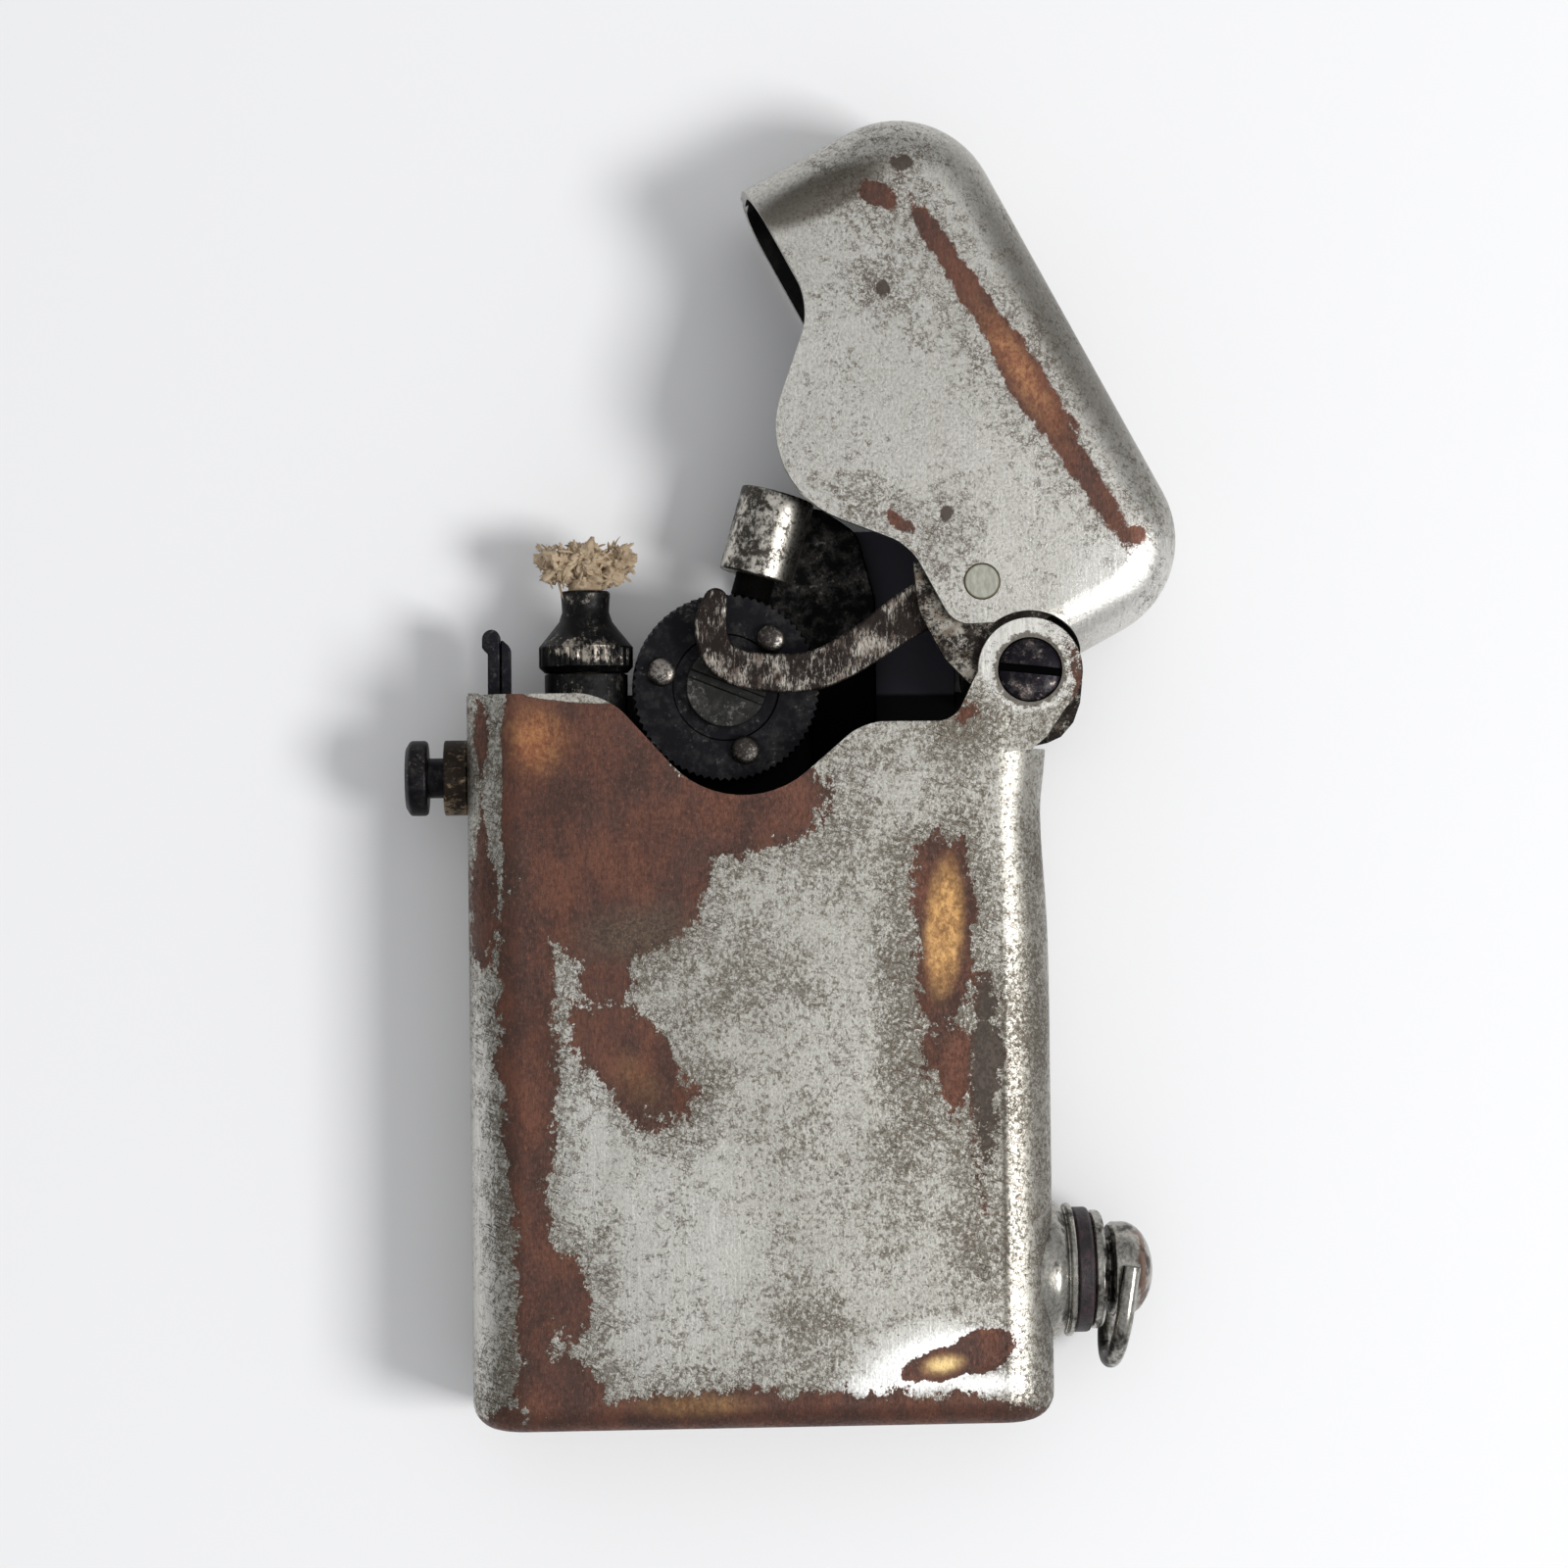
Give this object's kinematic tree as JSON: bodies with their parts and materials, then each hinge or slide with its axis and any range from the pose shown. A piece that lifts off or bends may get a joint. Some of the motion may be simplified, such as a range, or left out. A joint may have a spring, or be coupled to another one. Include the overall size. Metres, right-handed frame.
{
  "type": "petrol lighter",
  "caption": "Pocket petrol lighter with a hinged spring lid that turns a spark wheel by a claw, a push-button latch, a knurled wick burner and a side filler screw.",
  "frame": {"origin": "centre of the flat back of the case, on which the lighter lies", "axes": "+Z out of the front face, +Y towards the lid, +X towards the hinge side"},
  "size_m": [0.0483, 0.0809, 0.0112],
  "materials": {
    "nickel_plate": "worn satin nickel plate on copper and brass, pitted",
    "nickel_brass": "worn nickel plate on brass",
    "blackened_brass": "sooty, worn bright on the edges",
    "dark_steel": "oxidised, satin",
    "blue_black_steel": "blackened, matt",
    "worn_steel": "worn bright with dark pits",
    "spring_steel": "oiled",
    "flint_metal": "matt",
    "wick_cotton": "teased cotton",
    "cotton": "packed cotton",
    "gasket_leather": "oiled, hard"
  },
  "bodies": {
    "case": {"case_shell": "nickel_plate", "tank_plate": "dark_steel", "cotton_wadding": "cotton", "filler_boss": "nickel_brass", "mechanism_plate": "blue_black_steel", "wheel_post": "dark_steel", "burner_tube": "blackened_brass", "burner_nozzle": "blackened_brass", "wick": "wick_cotton", "flint_arm": "blue_black_steel", "flint_tube": "worn_steel", "flint_plug": "blackened_brass", "flint_spring": "spring_steel", "wheel_screw": "dark_steel", "hinge_screw": "dark_steel", "hinge_spring": "spring_steel", "button_bush": "blackened_brass", "latch_pin": "dark_steel"},
    "lid": {"lid_shell": "nickel_plate", "hinge_bracket": "dark_steel", "bracket_rivets": "dark_steel", "snuffer_cap": "nickel_brass", "snuffer_post": "nickel_brass", "lid_catch": "nickel_brass", "claw_rivet": "nickel_plate", "claw_spring": "spring_steel"},
    "claw": {"claw": "worn_steel"},
    "wheel": {"spark_wheel": "blue_black_steel", "wheel_pins": "worn_steel"},
    "flint": {"flint": "flint_metal"},
    "button": {"push_button": "dark_steel"},
    "latch": {"latch_hook": "dark_steel", "latch_spring": "dark_steel"},
    "gasket": {"filler_gasket": "gasket_leather"},
    "filler": {"filler_screw": "nickel_brass"},
    "bail": {"filler_bail": "nickel_brass"}
  },
  "joints": [
    {"name": "lid_hinge", "type": "hinge", "parent": "case", "child": "lid", "pos_m": [0.0167, 0.0234, 0.0055], "axis": [0, 0, 1], "range_deg": [0, 61.5], "deforming": ["wick", "claw_spring", "hinge_spring"]},
    {"name": "claw_swing", "type": "hinge", "parent": "lid", "child": "claw", "pos_m": [0.0138, 0.02885, 0.0087], "axis": [0, 0, 1], "range_deg": [-53, 0]},
    {"name": "wheel_spin", "type": "hinge", "parent": "case", "child": "wheel", "pos_m": [-0.0019, 0.02265, 0.0055], "axis": [0, 0, 1], "range_deg": [-76, 0]},
    {"name": "flint_feed", "type": "slide", "parent": "case", "child": "flint", "axis": [0.2756, 0.9613, 0], "range_m": [0, 0.0005], "stiffness_N_per_m": 200, "deforming": ["flint_spring"]},
    {"name": "button_push", "type": "slide", "parent": "case", "child": "button", "axis": [1, 0, 0], "range_m": [0, 0.0004], "stiffness_N_per_m": 500},
    {"name": "latch_swing", "type": "hinge", "parent": "case", "child": "latch", "pos_m": [-0.01625, 0.011, 0.0055], "axis": [0, 0, 1], "range_deg": [-3.8, 0]},
    {"name": "filler_lift", "type": "slide", "parent": "case", "child": "gasket", "axis": [1, 0, 0], "range_m": [0, 0.004]},
    {"name": "filler_turn", "type": "hinge", "parent": "gasket", "child": "filler", "pos_m": [0.018, -0.0141, 0.0055], "axis": [1, 0, 0], "range_deg": [0, 2888]},
    {"name": "bail_swing", "type": "hinge", "parent": "filler", "child": "bail", "pos_m": [0.0227, -0.0141, 0.0055], "axis": [0, 0, 1], "range_deg": [0, 180]}
  ],
  "couplings": [
    {"joint": "claw_swing", "follows": "lid_hinge", "ratio": -0.852},
    {"joint": "wheel_spin", "follows": "lid_hinge", "ratio": -1.22},
    {"joint": "latch_swing", "follows": "button_push", "rad_per_m": -161.29},
    {"joint": "filler_turn", "follows": "filler_lift", "rad_per_m": 12566}
  ]
}
